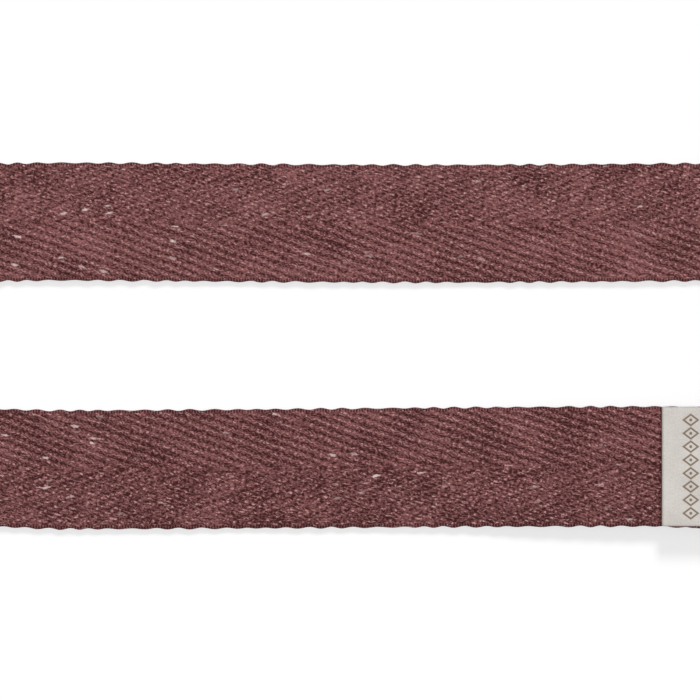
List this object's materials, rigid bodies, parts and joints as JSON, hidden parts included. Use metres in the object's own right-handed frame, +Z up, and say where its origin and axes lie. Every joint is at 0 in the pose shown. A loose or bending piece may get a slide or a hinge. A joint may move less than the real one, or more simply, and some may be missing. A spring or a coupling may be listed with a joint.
{
  "type": "stretching strap",
  "caption": "Long flat woven strap in a hairpin lay-out, with a pair of D-rings and a label sewn at one end and the hemmed free end rolled up.",
  "frame": {"origin": "middle of the part's box, on the surface that it lies on", "axes": "+X along both runs towards the rings and the roll, +Y across from the ring run to the plain run, +Z up"},
  "size_m": [0.3496, 0.1226, 0.0656],
  "materials": {
    "webbing": "coarse herringbone twill of heathered maroon cotton, matt",
    "label": "smooth cream imitation leather, matt",
    "ring_metal": "nickel-plated steel wire, polished",
    "thread": "waxed polyester sewing thread"
  },
  "bodies": {
    "strap": {"webbing_lower_run": "webbing", "webbing_ring_loop": "webbing", "webbing_lower_fold": "webbing", "webbing_cross_leg": "webbing", "webbing_upper_fold": "webbing", "webbing_upper_run": "webbing", "webbing_roll": "webbing", "webbing_hem": "webbing", "label": "label", "ring_seam_needle_thread": "thread", "ring_seam_bobbin_thread": "thread", "hem_needle_thread": "thread", "hem_bobbin_thread": "thread"},
    "lower_ring": {"lower_d_ring": "ring_metal"},
    "upper_ring": {"upper_d_ring": "ring_metal"}
  },
  "joints": [
    {"name": "lower_ring_hinge", "type": "hinge", "parent": "strap", "child": "lower_ring", "pos_m": [0.113, -0.0373, 0.0045], "axis": [0, 1, 0], "range_deg": [0, 155]},
    {"name": "upper_ring_hinge", "type": "hinge", "parent": "strap", "child": "upper_ring", "pos_m": [0.113, -0.0373, 0.0087], "axis": [0, 1, 0], "range_deg": [-170, 0]}
  ]
}
